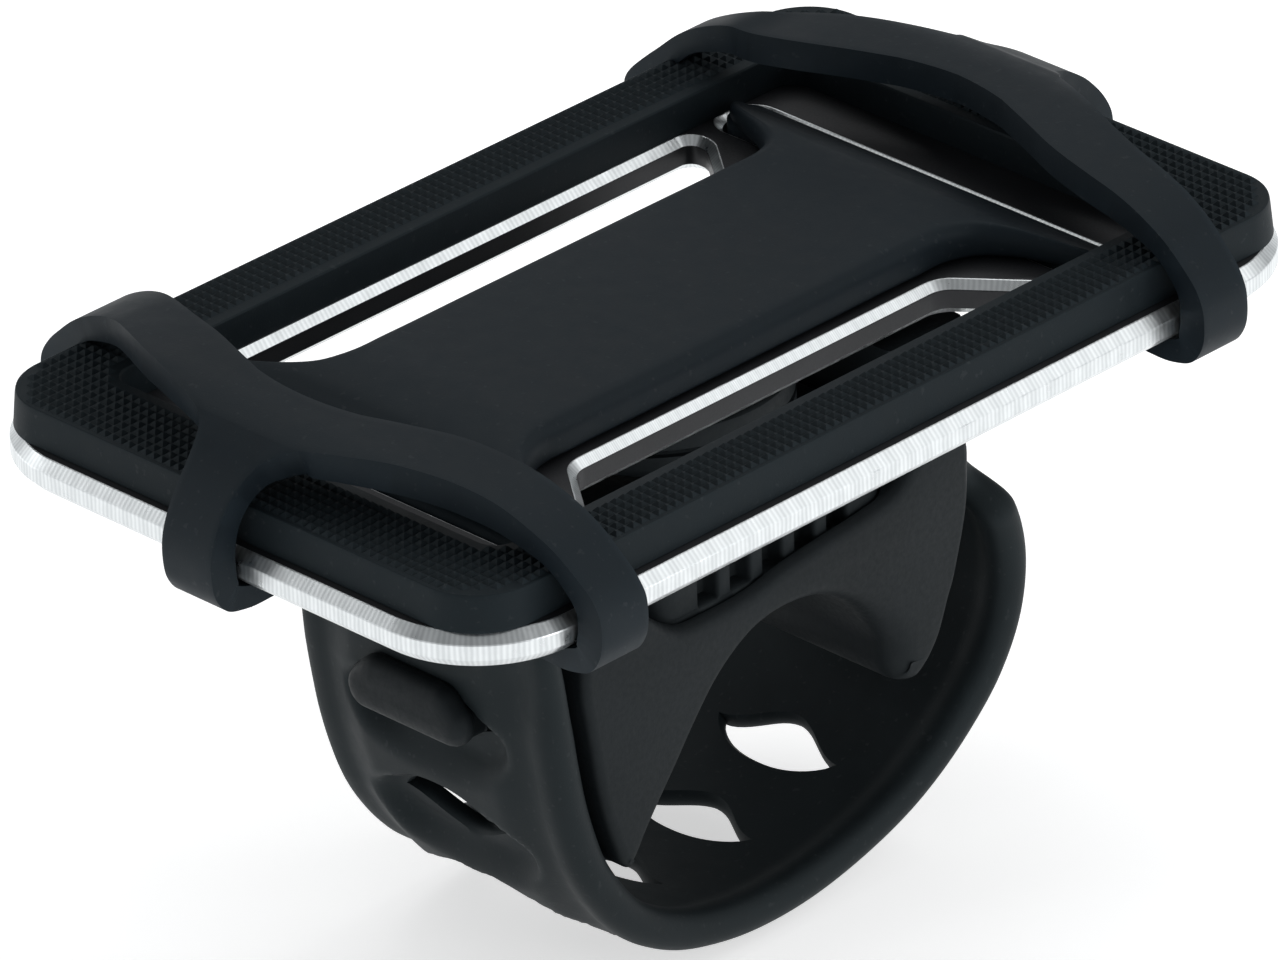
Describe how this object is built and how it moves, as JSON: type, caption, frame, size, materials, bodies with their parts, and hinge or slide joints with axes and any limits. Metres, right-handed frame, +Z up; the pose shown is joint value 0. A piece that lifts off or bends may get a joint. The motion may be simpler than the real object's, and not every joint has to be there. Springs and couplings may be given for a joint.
{
  "type": "handlebar phone mount",
  "caption": "Phone mount for a handlebar: a slotted deck with a grip pad and a stretch harness over the phone, swivelling on a saddle that a ladder strap clamps to the bar.",
  "frame": {"origin": "on the axis of a 25.4 mm handlebar seated in the saddle, under the middle of the deck", "axes": "+X along the handlebar, +Y forward along the phone, +Z up to the phone"},
  "size_m": [0.0744, 0.1166, 0.0667],
  "materials": {
    "deck_aluminium": "machined bright edges, black anodised faces",
    "pad_rubber": "matte, fine pyramid grip on top",
    "harness_rubber": "satin",
    "strap_rubber": "matte, with a moulded parting line",
    "moulded_plastic": "fine spark texture",
    "nylon": "natural",
    "steel": "plain"
  },
  "bodies": {
    "base": {"saddle": "moulded_plastic", "strap_hook": "moulded_plastic", "strap_pin": "steel", "swivel_turret": "moulded_plastic", "swivel_washer": "nylon", "bolt_washer": "steel", "pivot_bolt": "steel", "pivot_nut": "steel", "detent_ball_1": "steel", "detent_ball_2": "steel", "detent_spring_1": "steel", "detent_spring_2": "steel"},
    "head": {"deck_plate": "deck_aluminium", "grip_pad": "pad_rubber", "harness_bridge": "harness_rubber", "near_left_hook": "harness_rubber", "near_right_hook": "harness_rubber", "near_end_hook": "harness_rubber", "far_left_hook": "harness_rubber", "far_right_hook": "harness_rubber", "far_end_hook": "harness_rubber", "deck_screw_1": "steel", "deck_screw_2": "steel", "deck_screw_3": "steel", "deck_screw_4": "steel", "swivel_disc": "moulded_plastic"},
    "near_strap": {"near_strap_arch": "harness_rubber"},
    "far_strap": {"far_strap_arch": "harness_rubber"},
    "clamp_strap": {"clamp_strap_band": "strap_rubber", "clamp_strap_tail": "strap_rubber"}
  },
  "joints": [
    {"name": "head_swivel", "type": "hinge", "parent": "base", "child": "head", "pos_m": [0, 0, 0.0267], "axis": [0, 0, 1], "continuous": true},
    {"name": "strap_open", "type": "hinge", "parent": "base", "child": "clamp_strap", "pos_m": [0, 0.021, 0.0193], "axis": [1, 0, 0], "range_deg": [0, 75], "deforming": ["clamp_strap_tail"]},
    {"name": "near_strap_lift", "type": "slide", "parent": "head", "child": "near_strap", "axis": [0, 0, 1], "range_m": [0, 0.01], "stiffness_N_per_m": 250},
    {"name": "far_strap_lift", "type": "slide", "parent": "head", "child": "far_strap", "axis": [0, 0, 1], "range_m": [0, 0.01], "stiffness_N_per_m": 250}
  ]
}
